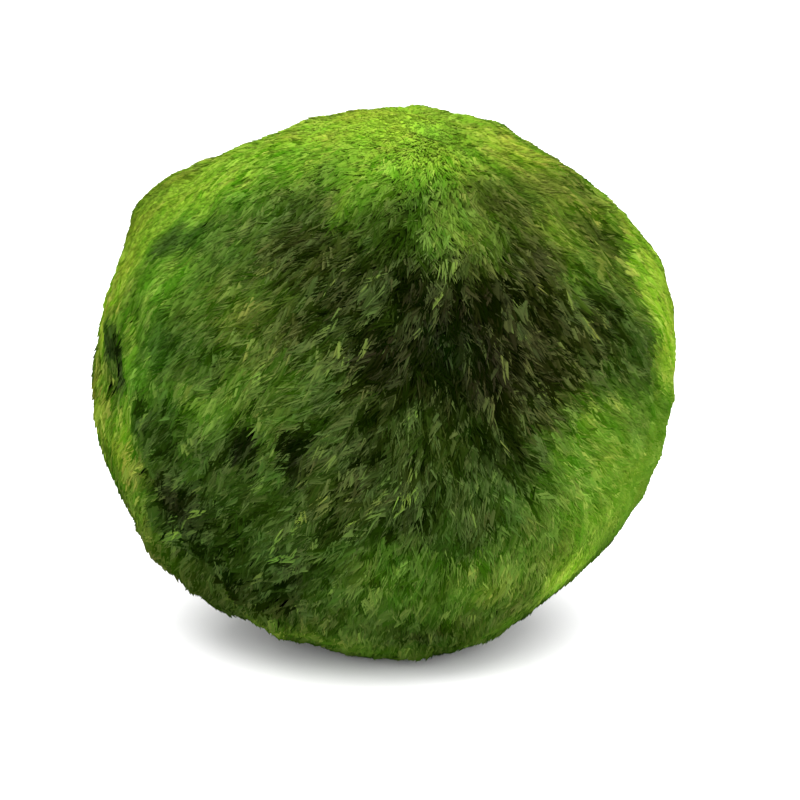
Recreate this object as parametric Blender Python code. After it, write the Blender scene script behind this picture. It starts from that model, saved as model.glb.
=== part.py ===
"""Marimo moss ball: one lump of matted green alga, about 50 mm across, resting on a small flat spot.

It is a single closed solid that reaches the tips of the filaments. Its surface is a lumpy ball covered in
short tufts that lean the way the filaments are combed. Metres, +Z up, front towards -Y; the origin is on the
surface that the ball rests on, below its middle.
"""

import math
from collections import namedtuple

import bmesh
import bpy
import numpy as np
from mathutils import Vector

# ---- driving dimensions, in metres -------------------------------------------------------------------------

BALL_RADIUS = 0.0240  # from the middle to the tips of the tufts, before the swellings below
REST_HEIGHT = 0.0229  # the middle above the surface: less than the radius, which leaves the flat spot
SHAGGY_DEPTH = 0.0018  # how far the gaps between tufts lie below their tips
VELVET_DEPTH = 0.0010  # the same where the filaments are short and close
TUFT_LEAN = 0.0011  # how far a tip is combed to the side of its root
TUFT_UNEVENNESS = 0.00020  # how much the tips stand above or below the smooth form

TUFT_COUNT = 1480
TUFT_SCATTER = 0.30  # how far a tuft strays from its even place, as a share of the tuft spacing
PRESSED_ANGLE = 19.0  # degrees from straight down within which the tufts are pressed flat
UNPRESSED_ANGLE = 27.0  # degrees from straight down beyond which they stand at full depth
SEED = 7

# ---- the lumpy form ----------------------------------------------------------------------------------------

# A swelling (or, with a negative height, a hollow). Azimuth is measured in degrees from the front, positive
# towards +X, and elevation from level. Spread is the angle at which the height has fallen to 37%.
Swelling = namedtuple("Swelling", "azimuth elevation height spread")

OUTLINE_SWELLINGS = (
    Swelling(-102, 38, 0.0022, 12),  # left shoulder, the sharpest corner
    Swelling(-92, 6, 0.0012, 22),  # left flank
    Swelling(-80, -34, 0.0011, 17),  # lower left
    Swelling(-55, -66, -0.0006, 15),  # below that
    Swelling(-134, 68, -0.0015, 17),  # slope left of the top
    Swelling(97, 24, 0.0018, 19),  # right shoulder
    Swelling(76, -41, -0.0009, 17),  # slope to the lower right
    Swelling(86, -10, 0.0006, 15),  # right flank
)
FRONT_SWELLINGS = (
    Swelling(-62, 30, 0.0009, 10),  # bright lobe on the left shoulder
    Swelling(-64, 57, 0.0006, 10),  # ridge above it
    Swelling(-61, 43, -0.0009, 6),  # crease between lobe and ridge
    Swelling(-75, 6, -0.0019, 5),  # small pit on the left edge
    Swelling(-46, 14, 0.0006, 12),
    Swelling(-57, -16, -0.0010, 7),  # shallow groove down the left side
    Swelling(-52, -30, -0.0009, 7),
    Swelling(-26, -1, -0.0007, 7),  # hollow left of the middle
    Swelling(-8, -20, 0.0007, 15),
    Swelling(19, 20, -0.0008, 13),  # dark hollow near the middle, where the tufts part
    Swelling(50, 16, -0.0006, 12),
    Swelling(-18, 47, -0.0008, 9),  # hollow under the top
    Swelling(10, 58, 0.0007, 13),
    Swelling(48, -5, 0.0007, 13),
    Swelling(70, 34, -0.0007, 9),  # hollow inside the right shoulder
    Swelling(24, -42, 0.0006, 14),
)
BACK_SWELLINGS = (
    Swelling(180, 8, 0.0009, 24),
    Swelling(150, -28, 0.0011, 17),
    Swelling(-150, 22, -0.0011, 18),
    Swelling(138, 34, -0.0008, 16),
    Swelling(-136, -22, 0.0008, 15),
    Swelling(172, 48, 0.0010, 15),
    Swelling(-165, -40, -0.0010, 13),
    Swelling(120, 2, -0.0009, 11),
    Swelling(-118, -4, -0.0010, 9),
    Swelling(60, 70, -0.0006, 14),
)
SWELLINGS = OUTLINE_SWELLINGS + FRONT_SWELLINGS + BACK_SWELLINGS


def direction(azimuth, elevation):
    """Unit vector for an azimuth and an elevation in degrees."""
    turn, rise = math.radians(azimuth), math.radians(elevation)
    return np.array([math.sin(turn) * math.cos(rise), -math.cos(turn) * math.cos(rise), math.sin(rise)])


def degrees_from(away, feature):
    """The angle between unit vectors in rows and the middle of a swelling or a patch."""
    centre = direction(feature.azimuth, feature.elevation)
    return np.degrees(np.arccos(np.clip(away @ centre, -1, 1)))


def form_radius(away):
    """Distance from the middle to the smooth form at the tufts' tips, along unit vectors in rows."""
    radius = np.full(len(away), BALL_RADIUS)
    for swelling in SWELLINGS:
        radius += swelling.height * np.exp(-((degrees_from(away, swelling) / swelling.spread) ** 2))
    return radius


# ---- how the tufts lie -------------------------------------------------------------------------------------

# A patch of short, close filaments, like velvet. The angles are as for a swelling.
Velvet = namedtuple("Velvet", "azimuth elevation spread")
VELVET_PATCHES = (
    Velvet(25, 80, 32),  # over the top
    Velvet(-85, 38, 24),  # left shoulder
    Velvet(92, 5, 20),  # right flank
    Velvet(60, -28, 20),  # lower right
    Velvet(160, 25, 26),
    Velvet(-150, -20, 22),
)

PARTING = direction(17, 18)  # the filaments part here and lie outwards from it
DOWN = np.array([0.0, 0.0, -1.0])
PARTING_PULL = 0.8
DOWN_PULL = 0.7


def unit(rows):
    return rows / np.maximum(np.linalg.norm(rows, axis=1, keepdims=True), 1e-9)


def combed(away):
    """The direction in which a tuft leans, along the surface: outwards from the parting, and down."""
    pull = PARTING_PULL * unit(away - PARTING) + DOWN_PULL * DOWN
    return unit(pull - away * np.sum(pull * away, axis=1, keepdims=True))


def smooth_step(low, high, value):
    share = np.clip((value - low) / (high - low), 0, 1)
    return share * share * (3 - 2 * share)


def tuft_depth(away):
    """How deep the gaps between tufts are: shaggy all over but for the velvet patches."""
    velvet = np.zeros(len(away))
    for patch in VELVET_PATCHES:
        velvet = np.maximum(velvet, np.exp(-((degrees_from(away, patch) / patch.spread) ** 2)))
    return SHAGGY_DEPTH + (VELVET_DEPTH - SHAGGY_DEPTH) * velvet


def standing(away):
    """0 where the ball's weight presses the tufts flat, 1 where they stand free."""
    from_below = np.degrees(np.arccos(np.clip(away @ DOWN, -1, 1)))
    return smooth_step(PRESSED_ANGLE, UNPRESSED_ANGLE, from_below)


def scattered_directions(count, scatter, rng):
    """Directions along a golden spiral over the sphere, each moved a little at random."""
    step = np.arange(count)
    height = 1 - (2 * step + 1) / count
    turn = step * math.pi * (3 - math.sqrt(5))
    across = np.sqrt(1 - height**2)
    even = np.column_stack((across * np.cos(turn), across * np.sin(turn), height))
    spacing = math.sqrt(4 * math.pi / count)
    return unit(even + rng.uniform(-1, 1, (count, 3)) * scatter * spacing)


# ---- building the solid ------------------------------------------------------------------------------------


def rows_of(verts):
    return np.array([vert.co for vert in verts])


def place(verts, rows):
    for vert, row in zip(verts, rows):
        vert.co = Vector(row)


def tufted_ball(bm, rng):
    """A closed ball whose corners are the tufts' tips and whose face centres are the gaps between them."""
    for away in scattered_directions(TUFT_COUNT, TUFT_SCATTER, rng):
        bm.verts.new(away)
    bmesh.ops.convex_hull(bm, input=bm.verts)
    tips = list(bm.verts)
    poked = bmesh.ops.poke(bm, faces=bm.faces)
    gaps = poked["verts"]

    away = rows_of(tips)
    stands = standing(away)[:, None]
    level = form_radius(away)[:, None] + stands * rng.normal(0, TUFT_UNEVENNESS, (len(tips), 1))
    place(tips, away * level + combed(away) * TUFT_LEAN * stands)

    away = unit(rows_of(gaps))
    depth = tuft_depth(away) * standing(away)
    place(gaps, away * (form_radius(away) - depth)[:, None])


def cut_flat(bm, height):
    """Takes away what lies below a level and closes the cut with one flat face."""
    everything = bm.verts[:] + bm.edges[:] + bm.faces[:]
    cut = bmesh.ops.bisect_plane(bm, geom=everything, plane_co=(0, 0, height), plane_no=(0, 0, 1), clear_inner=True)
    rim = [item for item in cut["geom_cut"] if isinstance(item, bmesh.types.BMEdge)]
    bmesh.ops.edgeloop_fill(bm, edges=rim)


def centre_over_origin(bm, rest_height):
    """Stands the ball on Z = 0 with the middle of its box over the origin."""
    corners = rows_of(bm.verts)
    middle = (corners.min(axis=0) + corners.max(axis=0)) / 2
    bmesh.ops.translate(bm, verts=bm.verts, vec=(-middle[0], -middle[1], rest_height))


def moss_material():
    material = bpy.data.materials.new("moss")
    material.use_nodes = True
    surface = material.node_tree.nodes["Principled BSDF"]
    surface.inputs["Base Color"].default_value = (0.07, 0.15, 0.015, 1)
    surface.inputs["Roughness"].default_value = 0.7
    surface.inputs["Metallic"].default_value = 0
    return material


def build_moss_ball():
    bm = bmesh.new()
    tufted_ball(bm, np.random.default_rng(SEED))
    cut_flat(bm, -REST_HEIGHT)
    centre_over_origin(bm, REST_HEIGHT)
    bmesh.ops.recalc_face_normals(bm, faces=bm.faces)
    mesh = bpy.data.meshes.new("moss_ball")
    bm.to_mesh(mesh)
    bm.free()
    mesh.materials.append(moss_material())
    ball = bpy.data.objects.new("moss_ball", mesh)
    bpy.context.scene.collection.objects.link(ball)
    return ball


def main():
    for existing in list(bpy.data.objects):
        bpy.data.objects.remove(existing)
    build_moss_ball()


main()
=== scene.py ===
"""The looks of the marimo moss ball: a coat of fine curved filaments on a felted mat, darkened by painted
shade.

The ball's form comes from the frame: its tufts' tips give the level that the filaments reach. Every filament
is a closed, tapering strand of mesh. Metres, +Z up, front towards -Y.

Where a pair of values has no other meaning beside it, the first is for shaggy places, where the filaments are
long and loose, and the second for velvety ones, where they are short and close.
"""

import math
from collections import namedtuple

import bmesh
import bpy
import numpy as np
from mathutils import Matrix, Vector, kdtree


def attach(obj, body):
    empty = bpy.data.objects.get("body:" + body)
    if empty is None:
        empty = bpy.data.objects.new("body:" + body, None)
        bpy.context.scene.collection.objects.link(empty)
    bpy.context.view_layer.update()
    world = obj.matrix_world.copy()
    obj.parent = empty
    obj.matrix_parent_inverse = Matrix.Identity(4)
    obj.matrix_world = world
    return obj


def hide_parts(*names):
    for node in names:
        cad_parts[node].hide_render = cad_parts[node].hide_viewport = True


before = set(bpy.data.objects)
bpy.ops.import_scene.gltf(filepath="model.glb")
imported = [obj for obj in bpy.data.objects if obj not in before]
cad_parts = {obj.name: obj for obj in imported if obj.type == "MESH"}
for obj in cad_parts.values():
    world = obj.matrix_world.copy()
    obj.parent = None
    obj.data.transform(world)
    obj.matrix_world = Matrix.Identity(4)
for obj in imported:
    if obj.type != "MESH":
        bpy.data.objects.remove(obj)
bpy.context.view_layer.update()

# ---- helpers -----------------------------------------------------------------------------------------------

Patch = namedtuple("Patch", "azimuth elevation spread")
Waves = namedtuple("Waves", "share scale seed")
WAVES_IN_RIPPLE = 12
WAVE_NUMBERS = (0.7, 1.4)  # times the one that the scale gives, at random
TINY = 1e-9


def direction(azimuth, elevation):
    """Unit vector for an azimuth (0 at the front, positive towards +X) and an elevation, in degrees."""
    turn, rise = math.radians(azimuth), math.radians(elevation)
    return np.array([math.sin(turn) * math.cos(rise), -math.cos(turn) * math.cos(rise), math.sin(rise)])


def unit(rows):
    return rows / np.maximum(np.linalg.norm(rows, axis=-1, keepdims=True), TINY)


def smooth_step(low, high, value):
    share = np.clip((value - low) / (high - low), 0, 1)
    return share * share * (3 - 2 * share)


def between(pair, share):
    """From the first value of a pair at a share of 0 to the second at 1."""
    return pair[0] + (pair[1] - pair[0]) * share


def spot(away, azimuth, elevation, spread, sharpness=2.0):
    """1 in the middle of a round patch, 0.37 at its spread and 0 far away."""
    angle = np.degrees(np.arccos(np.clip(away @ direction(azimuth, elevation), -1, 1)))
    return np.exp(-((angle / spread) ** sharpness))


def ripple(away, scale, seed):
    """A smooth random field over the ball, mostly within -1 and 1, with features of a scale in degrees."""
    count = WAVES_IN_RIPPLE
    rng = np.random.default_rng(seed)
    waves = unit(rng.normal(size=(count, 3))) * rng.uniform(*WAVE_NUMBERS, (count, 1)) * 180 / scale
    return np.sin(away @ waves.T + rng.uniform(0, 2 * math.pi, count)).sum(axis=1) / math.sqrt(count)


def ripples(away, several, axis=0):
    """Ripples of several scales, added up, with the seeds moved on for a later axis of space."""
    return sum(waves.share * ripple(away, waves.scale, waves.seed + axis) for waves in several)


def drift(away, several):
    """Ripples along all three axes, which move or bend what they are added to."""
    return np.column_stack([ripples(away, several, axis) for axis in range(3)])


def scattered_directions(count, scatter, rng):
    """Directions along a golden spiral over the sphere, each moved a little at random."""
    step = np.arange(count)
    height = 1 - (2 * step + 1) / count
    turn = step * math.pi * (3 - math.sqrt(5))
    across = np.sqrt(1 - height**2)
    even = np.column_stack((across * np.cos(turn), across * np.sin(turn), height))
    spacing = math.sqrt(4 * math.pi / count)
    return unit(even + rng.uniform(-1, 1, (count, 3)) * scatter * spacing)


def search_tree(centres):
    tree = kdtree.KDTree(len(centres))
    for index, centre in enumerate(centres):
        tree.insert(Vector(centre), index)
    tree.balance()
    return tree


def nearest(away, tree):
    """For each direction the index of the nearest of those in a search tree."""
    return np.array([tree.find(Vector(row))[1] for row in away])


def add_to_scene(name, data):
    made = bpy.data.objects.new(name, data)
    bpy.context.scene.collection.objects.link(made)
    return made


# ---- where the coat is shaggy, velvety or pressed ----------------------------------------------------------

DOWN = np.array([0.0, 0.0, -1.0])
PRESSED = (17.0, 30.0)  # degrees from straight down: pressed flat within the first, free beyond the second
VELVET_PATCHES = (
    Patch(20, 82, 32),  # over the top
    Patch(-85, 42, 26),  # left shoulder
    Patch(95, 12, 24),  # right flank
    Patch(66, -22, 26),  # lower right
    Patch(160, 25, 26),  # behind, to the right
    Patch(-150, -20, 22),  # behind, low to the left
)
TANGLED_PATCHES = (
    Patch(25, 20, 26),  # the dark middle
    Patch(0, 44, 18),  # under the crown
    Patch(-50, 14, 9),  # left side
)


def strongest(away, patches):
    return np.max([spot(away, *patch) for patch in patches], axis=0)


def velvet(away):
    """1 where the filaments are short and close, 0 where they are shaggy."""
    return strongest(away, VELVET_PATCHES)


def standing(away):
    """0 where the ball's weight presses the filaments flat, 1 where they stand free."""
    return smooth_step(*PRESSED, np.degrees(np.arccos(np.clip(away @ DOWN, -1, 1))))


# ---- the form, from the frame ------------------------------------------------------------------------------

REST_HEIGHT = 0.0229  # the ball's middle above the surface
MIDDLE = np.array([0, 0, REST_HEIGHT])
KERNEL_SPREAD = math.radians(3.0)  # over which the tips' levels are evened out
GAP_FACES = 4  # at most this many faces meet at the bottom of a gap, and more at a tip
WELD = 1e-6  # corners this near to each other are one
RELIEF = (0.00022, 0.000033)  # of the small lumps that the coat adds
RELIEF_WAVES = (Waves(1, 9, 61), Waves(0.7, 4.5, 62))
BLOCK = 8192  # directions worked on at a time
SKIN = 0.0004  # above the surface, into which what would reach below it is squeezed
FREE_DEPTH = (0.0017, 0.00035)  # from the filaments' tips down to their roots
PRESSED_DEPTH = 0.0006  # the same round the rest spot


def tuft_tips(mesh):
    """The places of the tufts' tips on the frame's solid, from the ball's middle."""
    corners = np.array([vert.co for vert in mesh.vertices])
    welded, which = np.unique(np.round(corners / WELD), axis=0, return_inverse=True)
    faces = np.concatenate([np.array(face.vertices) for face in mesh.polygons])
    meeting = np.bincount(which.ravel()[faces], minlength=len(welded))
    return welded[meeting > GAP_FACES] * WELD - MIDDLE


TIPS = tuft_tips(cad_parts["moss_ball"].data)
TIP_RADIUS = np.linalg.norm(TIPS, axis=1)
TIP_AWAY = TIPS / TIP_RADIUS[:, None]


def form(away):
    """The level of the filaments' tips along unit vectors in rows, from the ball's middle."""
    level = standing(away) * between(RELIEF, velvet(away)) * ripples(away, RELIEF_WAVES)
    for start in range(0, len(away), BLOCK):
        part = slice(start, start + BLOCK)
        near = np.exp(2 / KERNEL_SPREAD**2 * (away[part] @ TIP_AWAY.T - 1).astype(np.float32))
        level[part] += near @ TIP_RADIUS / near.sum(axis=1)
    return level


def root_depth(away):
    """How far the filaments' roots lie below their tips' level."""
    free = between(FREE_DEPTH, velvet(away))
    return PRESSED_DEPTH + (free - PRESSED_DEPTH) * standing(away)


def rest_on_surface(points):
    """Squeezes what would reach below the surface into a thin skin above it."""
    low = points[..., 2] + REST_HEIGHT
    squeezed = np.where(low < SKIN, SKIN * np.exp(np.minimum(low - SKIN, 0) / SKIN), low)
    return np.concatenate((points[..., :2], squeezed[..., None]), axis=-1)


# ---- how the filaments are combed --------------------------------------------------------------------------

# Heights, reaches and shifts are shares of the ball's radius, and heights are counted from its middle.
ASIDE = direction(103, 0)  # to the right of the upright line on the front where the filaments part
LEAN = 0.28  # of the parting, to the right, from LEAN_FROM upwards
LEAN_FROM = 0.2
LOW = (-0.05, -0.45)  # heights between which the parting widens and shifts to the right on its way down
LOW_SHIFT = 0.15
PARTING_REACH = (0.38, 0.46)  # left and right of the parting, beyond which it combs at full strength
LOW_REACH = (0.45, 0.9)  # the same low on the ball
PARTING_EASE = 1.3  # a power: how gently the combing sets in beside the parting
PARTING_PULL = (1.15, 1.5)  # left and right of the parting
FADING = (-0.1, -0.75)  # heights between which that pull fades
LOW_PULL = 0.42  # the share of it that is left at the bottom
DOWN_PULL = 1.05
STEEP = 0.55  # where a smaller share of a pull than this runs along the surface, the pull is weaker
UNRULY = (Waves(0.15, 26, 21), Waves(0.13, 9, 24))  # random pulls that bend the combing this way and that
FULL_STRENGTH = 0.75  # the sum of the pulls that lays a filament down fully


def along_surface(away, pull):
    """The part of a pull along the surface, at full length but where it points steeply in or out."""
    along = pull - away * (away @ pull)[:, None]
    return along / np.maximum(np.linalg.norm(along, axis=1, keepdims=True), STEEP)


def combed(away, stray):
    """Which way filaments with a stray pull of their own lie along the surface, and how fully (0 to 1).

    They are combed outwards from the parting and down.
    """
    height = away[:, 2]
    low = smooth_step(*LOW, height)
    side = away @ ASIDE - LEAN * np.maximum(height - LEAN_FROM, 0) - LOW_SHIFT * low
    left = side < 0
    reach = np.where(left, *PARTING_REACH) * (1 - low) + np.where(left, *LOW_REACH) * low
    side = np.clip(side / reach, -1, 1)
    side = np.sign(side) * np.abs(side) ** PARTING_EASE * np.where(left, *PARTING_PULL)
    side *= 1 + (LOW_PULL - 1) * smooth_step(*FADING, height)
    pull = side[:, None] * along_surface(away, ASIDE) + DOWN_PULL * along_surface(away, DOWN) + stray
    pull += drift(away, UNRULY)
    along = pull - away * np.sum(pull * away, axis=1, keepdims=True)
    return unit(along), smooth_step(0.0, FULL_STRENGTH, np.linalg.norm(along, axis=1))


# ---- colour, as a tone from dark olive (0) to bright yellow-green (1) --------------------------------------

Colour = namedtuple("Colour", "azimuth elevation spread sharpness tone warmth")
PLAIN_TONE = 0.30
COLOURS = (
    # the side that faces away, under the rest, lightened with painted light where the front softbox does not
    # reach
    Colour(180, -5, 62, 5, 0.42, 0.1),
    # the crown
    Colour(0, 90, 38, 4, 0.86, 0.2),
    Colour(50, 70, 8, 2.5, 0.72, -0.6),
    # left shoulder, its rim lightened with painted rim light, its bright lobe and the crease above that,
    # darkened with painted shade
    Colour(-72, 50, 18, 3, 0.84, -0.35),
    Colour(-88, 24, 17, 3, 0.95, 0.2),
    Colour(-90, 56, 12, 2.5, 0.88, 0.0),
    Colour(-106, 44, 18, 3, 0.85, 0.2),
    Colour(-84, -3, 10, 2.5, 0.95, 0.3),
    Colour(-63, 8, 14, 2.5, 0.80, -0.2),
    Colour(-60, 29, 8, 2.5, 0.64, -0.6),
    Colour(-52, 34, 6, 2.5, 0.74, -0.5),
    Colour(-50, 42, 5, 2.5, 0.38, -0.3),
    Colour(-66, 36, 4.0, 2.5, 0.20, -0.8),
    Colour(-58, 39, 4.0, 2.5, 0.26, -0.8),
    # left side
    Colour(-36, 10, 19, 2.5, 0.51, 0.0),
    Colour(-32, 31, 15, 2.5, 0.42, 0.3),
    Colour(-20, 16, 9, 2.5, 0.35, 0.3),
    Colour(-17, 23, 6, 2.5, 0.20, 0.5),
    Colour(-40, 17, 6, 2.5, 0.28, -0.2),
    Colour(-50, 17, 5.5, 2.5, 0.28, -0.9),
    Colour(-70, -9, 13, 2.5, 0.80, 0.5),
    Colour(-71, -24, 12, 2.5, 0.62, 0.5),
    # low on the left, with the groove and the dark spots, darkened with painted shade in their hollows
    Colour(-34, -23, 23, 3, 0.20, -0.35),
    Colour(-50, 1, 7, 2.5, 0.22, -0.4),
    Colour(-50, -17, 8.5, 2.5, -0.10, 0.0),
    Colour(-50, -28, 7, 2.5, 0.12, -0.3),
    Colour(-20, -25, 4.5, 2.5, 0.02, -0.2),
    Colour(-28, 0, 4.0, 2.5, -0.20, -0.2),
    Colour(-15, 1, 4.2, 2.5, -0.30, -0.2),
    Colour(-30, -39, 9, 2.5, 0.08, -0.2),
    Colour(-37, -4, 5, 2.5, 0.20, -0.2),
    # the pit at the left edge: painted shade in its hollow and painted light on the rim beside it
    Colour(-83, 14, 6, 2.5, 1.0, 0.2),
    Colour(-69, 9, 5.0, 2.5, -0.32, -0.6),
    Colour(-77, 10, 4.5, 2.5, 0.16, -0.6),
    # the grey-olive band under the crown
    Colour(-17, 43, 11, 2.5, 0.14, 0.5),
    Colour(-38, 44, 6, 2.5, 0.33, 0.1),
    Colour(-2, 40, 11, 2.5, 0.13, 0.3),
    Colour(9, 32, 7, 2.5, -0.06, 0.3),
    Colour(8, 48, 5, 2.5, 0.26, 0.3),
    Colour(-5, 52, 5, 2.5, 0.60, 0.2),
    # the dark middle, partly a brown of its own and partly painted shade deep in the fuzz
    Colour(3, 3, 13, 3, 0.19, 0.1),
    Colour(5, 45, 7, 2.5, 0.22, 0.3),
    Colour(23, 1, 10, 2.5, 0.06, 0.0),
    Colour(11, 5, 6, 2.5, 0.20, 0.0),
    Colour(12, 24, 15, 3, -0.08, 0.45),
    Colour(30, 19, 15, 3, -0.03, 0.6),
    Colour(20, 18, 9, 3, -0.17, 0.5),
    Colour(-1, 19, 6, 3, -0.14, 0.5),
    Colour(1, 26, 4.5, 2.5, 0.12, 0.3),
    Colour(12, 22, 4, 2.5, -0.14, -0.8),
    Colour(-10, 29, 6.5, 2.5, 0.00, 0.2),
    Colour(52, 19, 12, 3, 0.08, 0.6),
    # olive and brown towards the right shoulder
    Colour(72, 44, 18, 3, 0.62, 1.1),
    Colour(50, 42, 10, 2.5, 0.58, 0.6),
    Colour(25, 46, 10, 2.5, 0.50, 0.3),
    Colour(41, 50, 7, 2.5, 0.30, 0.8),
    Colour(37, 36, 6.5, 2.5, 0.07, 0.7),
    Colour(60, 40, 5, 2.5, 0.52, 0.8),
    Colour(14, 65, 7, 2.5, 0.84, 0.0),
    Colour(73, 35, 5.5, 2.5, 0.16, 1.0),
    Colour(66, 53, 8, 2.5, 0.46, 1.2),
    Colour(78, 62, 9, 2.5, 0.86, 0.7),
    Colour(82, 47, 6, 2.5, 0.36, 1.0),
    # right side
    Colour(90, 16, 20, 5, 0.97, 0.1),
    Colour(112, 30, 24, 2.5, 0.84, 0.1),
    Colour(106, 4, 16, 2.5, 0.85, 0.0),
    Colour(85, -10, 9, 2.5, 0.95, 0.1),
    Colour(60, -14, 24, 4, 0.66, 0.1),
    Colour(43, 1, 8, 3, 0.64, 0.2),
    Colour(62, 0, 7, 2.5, 0.50, -0.2),
    Colour(64, 12, 6.5, 2.5, 0.22, -0.2),
    Colour(26, -28, 12, 2.5, 0.52, -0.1),
    Colour(20, -17, 6, 2.5, 0.18, -0.1),
    Colour(17, -9, 7, 2.5, 0.20, -0.1),
    # low on the front
    Colour(2, -10, 14, 2.5, 0.08, -0.1),
    Colour(2, -27, 9, 2.5, 0.48, 0.0),
    Colour(-5, -42, 10, 2.5, 0.32, -0.2),
    Colour(11, -50, 7, 2.5, 0.15, 0.0),
    # the next three: lighter along the bottom edge, painted light from the floor below into the shade at the
    # rest
    Colour(-12, -58, 9, 2.5, 0.55, 0.0),
    Colour(-32, -55, 10, 2.5, 0.74, 0.1),
    Colour(-2, -64, 10, 2.5, 0.72, 0.0),
    Colour(51, -36, 7, 2.5, 0.95, 0.1),
    Colour(42, -54, 12, 2.5, 0.66, 0.1),
    # the sides that face away
    Colour(150, 35, 34, 2.5, 0.72, 0.1),
    Colour(178, 2, 22, 2.5, 0.30, 0.2),
    Colour(-150, 8, 24, 2.5, 0.55, 0.0),
    Colour(125, -22, 22, 2.5, 0.34, 0.1),
    Colour(-125, -22, 22, 2.5, 0.40, 0.2),
    Colour(-178, -34, 22, 2.5, 0.48, 0.0),
    Colour(134, 12, 15, 2, 0.36, 0.6),
    Colour(0, -90, 32, 3, 0.30, 0.1),
)
RAGGED = (Waves(0.030, 14, 31), Waves(0.016, 5, 34))  # moves the places that the patches are read at
MOTTLE_WAVES = (Waves(0.35, 12, 41), Waves(0.6, 6, 42), Waves(0.6, 3, 44))
MOTTLE = (0.035, 0.055)  # of the tone, in the dark and in the bright
MOTTLE_SHARE = (1, 0.4)  # of that
WARMTH_WAVES = (Waves(0.25, 17, 43), Waves(0.2, 5, 45))


def colours(away):
    """Tone and warmth over the ball. Moving the places that the patches are read at breaks up their edges."""
    read = unit(away + drift(away, RAGGED))
    tone = np.full(len(away), PLAIN_TONE)
    warmth = np.zeros(len(away))
    for patch in COLOURS:
        share = spot(read, patch.azimuth, patch.elevation, patch.spread, patch.sharpness)
        tone += (patch.tone - tone) * share
        warmth += (patch.warmth - warmth) * share
    mottle = between(MOTTLE, np.clip(tone, 0, 1)) * between(MOTTLE_SHARE, velvet(away))
    tone += ripples(away, MOTTLE_WAVES) * mottle
    warmth += ripples(away, WARMTH_WAVES)
    return tone, warmth


# ---- meshes ------------------------------------------------------------------------------------------------


def mesh_object(name, points, faces, attributes, normals=None, places=None):
    """A smooth piece of triangles with values at its points and their places on the map named OFBake."""
    mesh = bpy.data.meshes.new(name)
    mesh.vertices.add(len(points))
    mesh.vertices.foreach_set("co", points.astype(np.float32).ravel())
    mesh.loops.add(faces.size)
    mesh.loops.foreach_set("vertex_index", faces.astype(np.int32).ravel())
    mesh.polygons.add(len(faces))
    mesh.polygons.foreach_set("loop_start", np.arange(0, faces.size, 3, dtype=np.int32))
    mesh.polygons.foreach_set("use_smooth", np.ones(len(faces), bool))
    for label, values in attributes.items():
        layer = mesh.attributes.new(label, "FLOAT", "POINT")
        layer.data.foreach_set("value", values.astype(np.float32))
    if places is not None:
        baked = mesh.uv_layers.new(name="OFBake")
        baked.uv.foreach_set("vector", places[faces.ravel()].astype(np.float32).ravel())
    mesh.update(calc_edges=True)
    mesh.validate()
    if normals is not None:
        mesh.normals_split_custom_set_from_vertices(normals.astype(np.float32))
    return add_to_scene(name, mesh)


MAT_SUBDIVISIONS = 6
MAT_DEPTH = (1, 0.4)  # of the mat's surface, as a share of the roots' depth
FELT = (1, 0.2)  # the share of the felt's unevenness
FELT_WAVES = (Waves(0.00012, 6, 51), Waves(0.00009, 2.6, 52))
MAT_SHADE = (0.45, 1.20)  # what its colour is multiplied by: painted shade in shaggy places, painted light in velvety ones
MAT_LIGHT_SHADE = 0.2  # added where the filaments are light
LIGHT_TONES = (0.05, 0.4)  # from dark filaments to light ones


def make_mat():
    """The felted body under the filaments: a closed, uneven ball with a flat rest spot."""
    bm = bmesh.new()
    bmesh.ops.create_icosphere(bm, subdivisions=MAT_SUBDIVISIONS, radius=1)
    away = unit(np.array([vert.co for vert in bm.verts]))
    faces = np.array([[vert.index for vert in face.verts] for face in bm.faces])
    bm.free()
    soft = velvet(away)
    felt = ripples(away, FELT_WAVES) * standing(away) * between(FELT, soft)
    radius = form(away) - root_depth(away) * between(MAT_DEPTH, soft) + felt
    points = rest_on_surface(away * radius[:, None])
    tone, warmth = colours(away)
    shade = between(MAT_SHADE, soft) + MAT_LIGHT_SHADE * smooth_step(*LIGHT_TONES, tone)
    attributes = {"tone": tone, "warmth": warmth, "own": 0 * tone, "shade": shade}
    return mesh_object("felted_mat", points, faces, attributes)


SEED = 11
WISP_COUNT = 56000
WISP_SCATTER = 0.8  # from even places, as a share of the spacing
STRAY = (0.10, 0.16)  # of a wisp's direction from the combing, as a share of a full pull
TANGLE = 0.13  # how much further it strays in the tangled patches
REACH = (0.90, 1.02)  # of a wisp's tips, at random, as a share of the roots' depth
GAP = (0.02, 0.05)  # radians from the nearest tuft's tip, between which a gap begins
GAP_DROP = 0.15  # how much less wisps reach there
THROW = (1.5, 2.1)  # how far a wisp's tips lie along the surface from its roots, as a share of its reach
THROW_RANGE = (0.7, 1.35)  # of that, at random
THROW_UPRIGHT = 0.45  # the share of it that is left where the combing has no strength
THROW_VELVET = 0.9  # the least share of it in velvety places
CURL = (0.00036, 0.000072)  # how far a wisp's bends stand to the side
COLOUR_READ = 0.6  # the share of the throw at which a wisp's colour is read
STREAK_STEPS = 4  # how many wisps a streak of like colour runs on, either way
STREAK_STEP = 0.018  # from wisp to wisp, in radians
STREAK_TONE = (0.09, 0.025)  # how much tones differ from streak to streak
STREAK_DARK = 0.10  # how much stronger streaks are where the tone is dark
DARK_TONES = (0.30, 0.05)  # from light places to dark ones
WISP_TONE = (0.05, 0.015)  # how much they differ from wisp to wisp besides
WISP_WARMTH = (0.2, 0.1)

Wisps = namedtuple("Wisps", "away along across reach throw curl tone own warmth")


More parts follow.
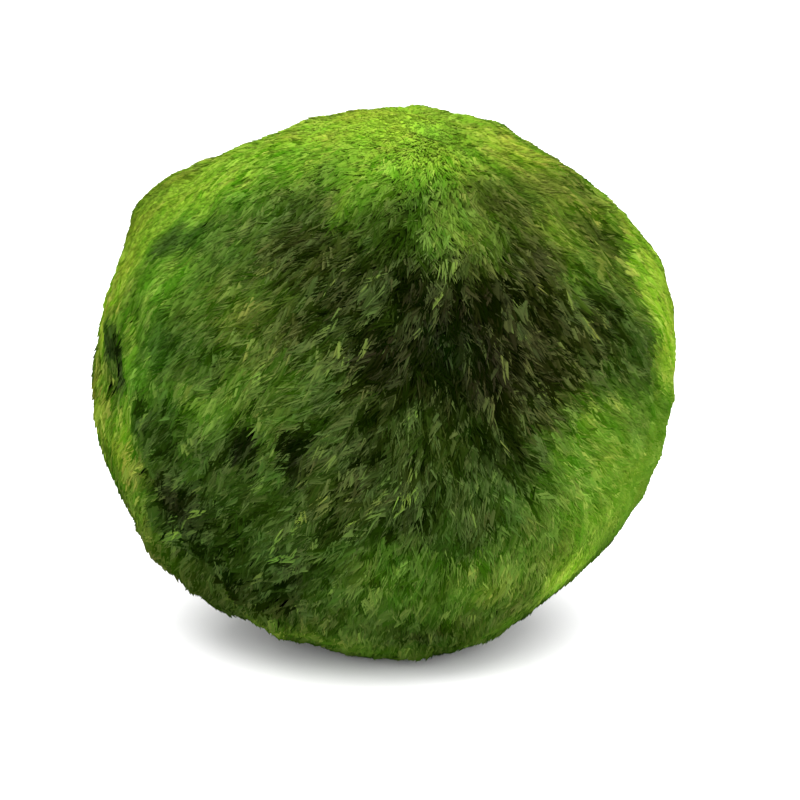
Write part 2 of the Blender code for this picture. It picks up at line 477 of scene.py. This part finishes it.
def streaks(away, tree, rng):
    """A random value for each wisp, alike along the combing and unlike across it, with a spread of 1."""
    own = rng.normal(0, 1, len(away))
    along, _ = combed(away, 0)
    total = own.copy()
    for sense in (1, -1):
        place, here = away, np.arange(len(away))
        for _ in range(STREAK_STEPS):
            place = unit(place + sense * STREAK_STEP * along[here])
            here = nearest(place, tree)
            total += own[here]
    return total / math.sqrt(2 * STREAK_STEPS + 1)


def make_wisps(rng):
    """The small bundles that the filaments grow in, and the tree that finds the nearest of them."""
    away = scattered_directions(WISP_COUNT, WISP_SCATTER, rng)
    tree = search_tree(away)
    soft = velvet(away)
    share = between(STRAY, soft) + TANGLE * strongest(away, TANGLED_PATCHES)
    along, strength = combed(away, rng.normal(0, 1, (WISP_COUNT, 3)) * share[:, None])

    to_tuft = np.linalg.norm(TIP_AWAY[nearest(away, search_tree(TIP_AWAY))] - away, axis=1)
    in_gap = smooth_step(*GAP, to_tuft) * (1 - soft)
    reach = root_depth(away) * rng.uniform(*REACH, WISP_COUNT) * (1 - GAP_DROP * in_gap)
    throw = reach * between(THROW, soft) * rng.uniform(*THROW_RANGE, WISP_COUNT)
    throw *= np.maximum(between((THROW_UPRIGHT, 1), strength), THROW_VELVET * soft)
    curl = rng.normal(0, 1, WISP_COUNT) * between(CURL, soft)

    tone, warmth = colours(unit(away + along * (COLOUR_READ * throw / TIP_RADIUS.mean())[:, None]))
    own = rng.normal(0, 1, WISP_COUNT) * between(WISP_TONE, soft)
    dark = smooth_step(*DARK_TONES, tone)
    own += streaks(away, tree, rng) * (between(STREAK_TONE, soft) + STREAK_DARK * dark)
    warmth += rng.normal(0, 1, WISP_COUNT) * between(WISP_WARMTH, soft)
    return Wisps(away, along, np.cross(away, along), reach, throw, curl, tone, own, warmth), tree


# A filament is a closed strand of four triangles: a corner at its root, two at its bend and one at its tip.
FILAMENT_COUNT = 234000
FILAMENT_SCATTER = 0.6
FILAMENT_REACH = (0.82, 1.01)  # of its wisp's reach, at random
FILAMENT_THROW = (0.7, 1.3)  # of its wisp's throw, at random
JITTER = (0.00016, 0.00008)  # how far a filament strays from its wisp
GATHER_AT_TIP = (0.15, 0.0675)  # how far a wisp's filaments have closed in on its middle at their tips
ROOT_BURIED = 0.00015  # how deep the roots go below their own level
RISE = 1.1  # a power: how late along a filament its height grows
BOW = 1.6  # a power: how late it is thrown aside
WIDTH = (0.00012, 0.000162)
WIDTH_RANGE = (0.8, 1.2)  # of that, at random
BEND_SHARE = 0.68  # how far along a filament its bend is
BEND_LIFT = 0.2  # of the two corners above the filament's line, as a share of its width
SHARES = np.array([0, BEND_SHARE, BEND_SHARE, 1])  # of the strand's corners along it
STRAND_FACES = np.array([(0, 1, 2), (3, 2, 1), (0, 2, 3), (0, 3, 1)])
SOFTNESS = 0.85  # how far the filaments are shaded like the ball, not each by itself
FILAMENT_TONE = (0.03, 0.01)  # how much tones differ within a wisp
FILAMENT_WARMTH = (0.15, 0.07)
ROOT_SHADE = (0.50, 1.10)  # what the colour is multiplied by at the root: painted shade below 1, painted light above it
ROOT_LIGHT_SHADE = 0.60  # added where the filament is light
UNSHADED = 0.9  # the share of a filament beyond which its root's shade has gone

# On the map each filament has a cell of its own, wider than high, and lies in it as a kite from root to tip.
CELL_SHAPE = 1.5  # its width to its height
STRAND_IN_CELL = np.array([(0.02, 0.5), (BEND_SHARE, 0.02), (BEND_SHARE, 0.98), (0.98, 0.5)])

SIDES = ("front", "right", "back", "left")
TOP = 0.62  # the height, as a share of the radius, from which filaments belong to the piece on top


def filament_lines(away, wisps, wisp, rng):
    """Three points for each filament: root, bend and tip. It follows its wisp and closes in on it."""
    count = len(away)
    soft = velvet(away)
    depth = root_depth(away)
    level = form(away)
    offset = away - wisps.away[wisp]
    reach = wisps.reach[wisp] * rng.uniform(*FILAMENT_REACH, count)
    throw = wisps.throw[wisp] * rng.uniform(*FILAMENT_THROW, count)
    jitter = rng.normal(0, 1, (count, 3)) * between(JITTER, soft)[:, None]

    lines = np.empty((count, 3, 3))
    for step, share in enumerate((0.0, BEND_SHARE, 1.0)):
        height = math.sin(share * math.pi / 2) ** RISE
        sideways = wisps.curl[wisp] * (step == 1) + jitter[:, step] * share
        move = wisps.along[wisp] * (throw * share**BOW)[:, None] + wisps.across[wisp] * sideways[:, None]
        loose = 1 - share * between(GATHER_AT_TIP, soft)
        heading = unit((wisps.away[wisp] + offset * loose[:, None]) * level[:, None] + move)
        radius = form(heading) - depth + reach * height - ROOT_BURIED * (1 - share)
        lines[:, step] = heading * radius[:, None]
    return lines


def strand_points(lines, away, width):
    """The corners of each filament round its line, and their normals."""
    points = np.empty((len(lines), len(SHARES), 3))
    normals = np.empty_like(points)
    points[:, 0] = lines[:, 0]
    points[:, -1] = lines[:, 2]
    run = unit(lines[:, 2] - lines[:, 0])
    normals[:, 0] = away
    normals[:, -1] = unit(run + away)
    beside = unit(np.cross(run, away))
    upward = np.cross(beside, run)
    for corner, side in ((1, 1), (2, -1)):
        offset = beside * side / 2 + upward * BEND_LIFT
        points[:, corner] = lines[:, 1] + offset * width[:, None]
        normals[:, corner] = unit(offset)
    return points, unit(normals * (1 - SOFTNESS) + away[:, None] * SOFTNESS)


def strand_places(tone, own):
    """Each filament's corners on the map, with like filaments side by side so that none shows in another."""
    count = len(tone)
    columns = math.ceil(math.sqrt(count / CELL_SHAPE))
    row = np.empty(count, int)
    row[np.argsort(tone, kind="stable")] = np.arange(count) // columns
    cell = np.empty((count, 1, 2))
    order = np.lexsort((own, row))
    cell[order, 0] = np.column_stack((np.arange(count) % columns, row[order]))
    return (cell + STRAND_IN_CELL) / (columns, row.max() + 1)


def make_filaments():
    """The coat, as one piece for each side and one for the top."""
    rng = np.random.default_rng(SEED)
    wisps, tree = make_wisps(rng)
    away = scattered_directions(FILAMENT_COUNT, FILAMENT_SCATTER, rng)
    wisp = nearest(away, tree)
    lines = filament_lines(away, wisps, wisp, rng)
    soft = velvet(away)
    width = rng.uniform(*WIDTH_RANGE, FILAMENT_COUNT) * between(WIDTH, soft)
    points, normals = strand_points(lines, away, width)
    points = rest_on_surface(points)

    own = wisps.own[wisp] + rng.normal(0, 1, FILAMENT_COUNT) * between(FILAMENT_TONE, soft)
    tone = wisps.tone[wisp] + own
    warmth = wisps.warmth[wisp] + rng.normal(0, 1, FILAMENT_COUNT) * between(FILAMENT_WARMTH, soft)
    root_shade = between(ROOT_SHADE, soft) + ROOT_LIGHT_SHADE * smooth_step(*LIGHT_TONES, tone)
    shade = root_shade[:, None] + (1 - root_shade[:, None]) * smooth_step(0, UNSHADED, SHARES)

    sector = 360 / len(SIDES)
    azimuth = np.degrees(np.arctan2(away[:, 0], -away[:, 1]))
    side = np.floor((azimuth + sector / 2) % 360 / sector).astype(int)
    side[away[:, 2] > TOP] = len(SIDES)
    pieces = []
    for index, name in enumerate((*SIDES, "top")):
        mine = np.nonzero(side == index)[0]
        first = np.arange(len(mine))[:, None, None] * len(SHARES)
        faces = (STRAND_FACES[None] + first).reshape(-1, 3)
        attributes = {
            "tone": np.repeat(tone[mine], len(SHARES)),
            "warmth": np.repeat(warmth[mine], len(SHARES)),
            "own": np.repeat(own[mine], len(SHARES)),
            "shade": shade[mine].ravel(),
        }
        corners, around = points[mine].reshape(-1, 3), normals[mine].reshape(-1, 3)
        places = strand_places(tone[mine], own[mine]).reshape(-1, 2)
        pieces.append(mesh_object(f"filaments_{name}", corners, faces, attributes, around, places))
    return pieces


# ---- materials ---------------------------------------------------------------------------------------------

TONE_FLOOR = -0.25
TONE_STOPS = (
    (TONE_FLOOR, (0.0024, 0.0038, 0.0006)),
    (0.00, (0.0070, 0.0102, 0.0021)),
    (0.20, (0.0155, 0.0285, 0.0038)),
    (0.40, (0.0305, 0.0610, 0.0066)),
    (0.65, (0.0615, 0.1260, 0.0090)),
    (1.00, (0.1690, 0.2960, 0.0180)),
)
SPECKLE = 0.08  # how much the finest noise moves the tone
SPECKLE_NOISE = {"Scale": 500, "Detail": 2}
MOSS_SURFACE = {"Roughness": 0.9, "Specular IOR Level": 0.0}
FLOOR_SURFACE = {"Base Color": (0.9, 0.9, 0.9, 1), "Roughness": 0.9, "Specular IOR Level": 0.1}

# A tint's colour multiplies the moss, from not at all where the attribute is at none to wholly at full.
Tint = namedtuple("Tint", "attribute none full colour")
TINTS = (
    # warmth turns the green towards brown, or a little towards blue-green where it is negative
    Tint("warmth", 0, 1, (1.18, 0.86, 1.0)),
    Tint("warmth", 0, -1, (0.78, 1.04, 0.85)),
    # filaments lighter than those round them are greyer, a painted sheen, and darker ones a purer green
    Tint("own", 0, 0.15, (1.28, 1.0, 2.1)),
    Tint("own", 0, -0.15, (0.66, 0.98, 0.25)),
    # the shaded roots are a purer green too
    Tint("shade", 1, 0.4, (0.80, 1.0, 0.30)),
)


def feed(tree, node, inputs):
    """Feeds each of the inputs that are named with another node's output or a value."""
    for label, value in inputs.items():
        if isinstance(value, bpy.types.NodeSocket):
            tree.links.new(value, node.inputs[label])
        else:
            node.inputs[label].default_value = value


def add_node(tree, kind, inputs, **settings):
    made = tree.nodes.new(kind)
    for label, value in settings.items():
        setattr(made, label, value)
    feed(tree, made, inputs)
    return made


def mapped(tree, value, low, high):
    """A value's place between two levels, from 0 to 1."""
    inputs = {"Value": value, "From Min": low, "From Max": high}
    return add_node(tree, "ShaderNodeMapRange", inputs).outputs["Result"]


def multiplied(tree, colour, by, share):
    inputs = {"A": colour, "B": by, "Factor": share}
    return add_node(tree, "ShaderNodeMix", inputs, data_type="RGBA", blend_type="MULTIPLY").outputs["Result"]


def surfaced(name, inputs):
    """A new material with its surface's inputs set."""
    material = bpy.data.materials.new(name)
    material.use_nodes = True
    feed(material.node_tree, material.node_tree.nodes["Principled BSDF"], inputs)
    return material


def moss_material(name):
    """Moss that reads its tone, warmth, own tone and shade from the mesh."""
    material = surfaced(name, MOSS_SURFACE)
    tree = material.node_tree
    read = {
        label: add_node(tree, "ShaderNodeAttribute", {}, attribute_name=label).outputs["Fac"]
        for label in ("tone", "warmth", "own", "shade")
    }
    speckle = add_node(tree, "ShaderNodeTexNoise", SPECKLE_NOISE)
    speckled = {0: speckle.outputs["Fac"], 1: SPECKLE, 2: read["tone"]}
    toned = add_node(tree, "ShaderNodeMath", speckled, operation="MULTIPLY_ADD")
    place = mapped(tree, toned.outputs[0], TONE_FLOOR + SPECKLE / 2, 1 + SPECKLE / 2)
    ramp = add_node(tree, "ShaderNodeValToRGB", {"Fac": place})
    stops = ramp.color_ramp.elements
    while len(stops) < len(TONE_STOPS):
        stops.new(0.5)
    for stop, (level, colour) in zip(stops, TONE_STOPS):
        stop.position = (level - TONE_FLOOR) / (1 - TONE_FLOOR)
        stop.color = (*colour, 1)

    colour = multiplied(tree, ramp.outputs["Color"], read["shade"], 1)
    for tint in TINTS:
        share = mapped(tree, read[tint.attribute], tint.none, tint.full)
        colour = multiplied(tree, colour, (*tint.colour, 1), share)
    feed(tree, tree.nodes["Principled BSDF"], {"Base Color": colour})
    return material


# ---- the scene ---------------------------------------------------------------------------------------------

PHOTO_SIDE = 800  # pixels
PIXELS_PER_METRE = 583.5 / 0.050  # of the photo, at the ball's middle
BALL_PIXEL = (382.5, 379.5)  # where the ball's middle is in the photo
CAMERA_ELEVATION = 15.0
CAMERA_DISTANCE = 0.42
CAMERA_CLIP = (0.01, 10)
SENSOR = 36.0  # millimetres
FLOOR_HALF_SIDE = 3
WORLD = {"Color": (1, 1, 1, 1), "Strength": 1.05}

Softbox = namedtuple("Softbox", "name place size power")
SOFTBOXES = (
    Softbox("top_softbox", (0.0, -0.10, 0.9), 1.6, 17.0),
    Softbox("front_softbox", (0.10, -0.74, 0.46), 1.1, 15.0),
)


def make_camera():
    camera = add_to_scene("camera", bpy.data.cameras.new("camera"))
    bpy.context.scene.camera = camera
    rise = math.radians(CAMERA_ELEVATION)
    towards = Vector((0, math.cos(rise), -math.sin(rise)))
    up = Vector((0, math.sin(rise), math.cos(rise)))
    aside = (PHOTO_SIDE / 2 - BALL_PIXEL[0]) / PIXELS_PER_METRE
    below = (PHOTO_SIDE / 2 - BALL_PIXEL[1]) / PIXELS_PER_METRE
    target = Vector(MIDDLE) + Vector((aside, 0, 0)) - up * below
    camera.location = target - towards * CAMERA_DISTANCE
    camera.rotation_euler = (math.radians(90) - rise, 0, 0)
    camera.data.sensor_width = SENSOR
    camera.data.lens = SENSOR * CAMERA_DISTANCE * PIXELS_PER_METRE / PHOTO_SIDE
    camera.data.clip_start, camera.data.clip_end = CAMERA_CLIP


def make_floor():
    bm = bmesh.new()
    bmesh.ops.create_grid(bm, x_segments=1, y_segments=1, size=FLOOR_HALF_SIDE)
    mesh = bpy.data.meshes.new("floor")
    bm.to_mesh(mesh)
    bm.free()
    mesh.materials.append(surfaced("floor", FLOOR_SURFACE))
    floor = add_to_scene("floor", mesh)


def make_lights():
    world = bpy.data.worlds.new("studio")
    world.use_nodes = True
    feed(world.node_tree, world.node_tree.nodes["Background"], WORLD)
    bpy.context.scene.world = world
    for softbox in SOFTBOXES:
        light = bpy.data.lights.new(softbox.name, "AREA")
        light.shape = "DISK"
        light.size = softbox.size
        light.energy = softbox.power
        lamp = add_to_scene(softbox.name, light)
        lamp.location = softbox.place
        lamp.rotation_euler = (Vector(MIDDLE) - lamp.location).to_track_quat("-Z", "Y").to_euler()


def main():
    make_camera()
    make_floor()
    make_lights()
    bpy.context.scene.view_settings.view_transform = "Standard"

    mat = make_mat()
    mat.data.materials.append(moss_material("moss_mat"))
    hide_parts("moss_ball")
    filaments = make_filaments()
    strand = moss_material("moss_filament")
    for piece in filaments:
        piece.data.materials.append(strand)
    for piece in [mat] + filaments:
        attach(piece, "root")


main()
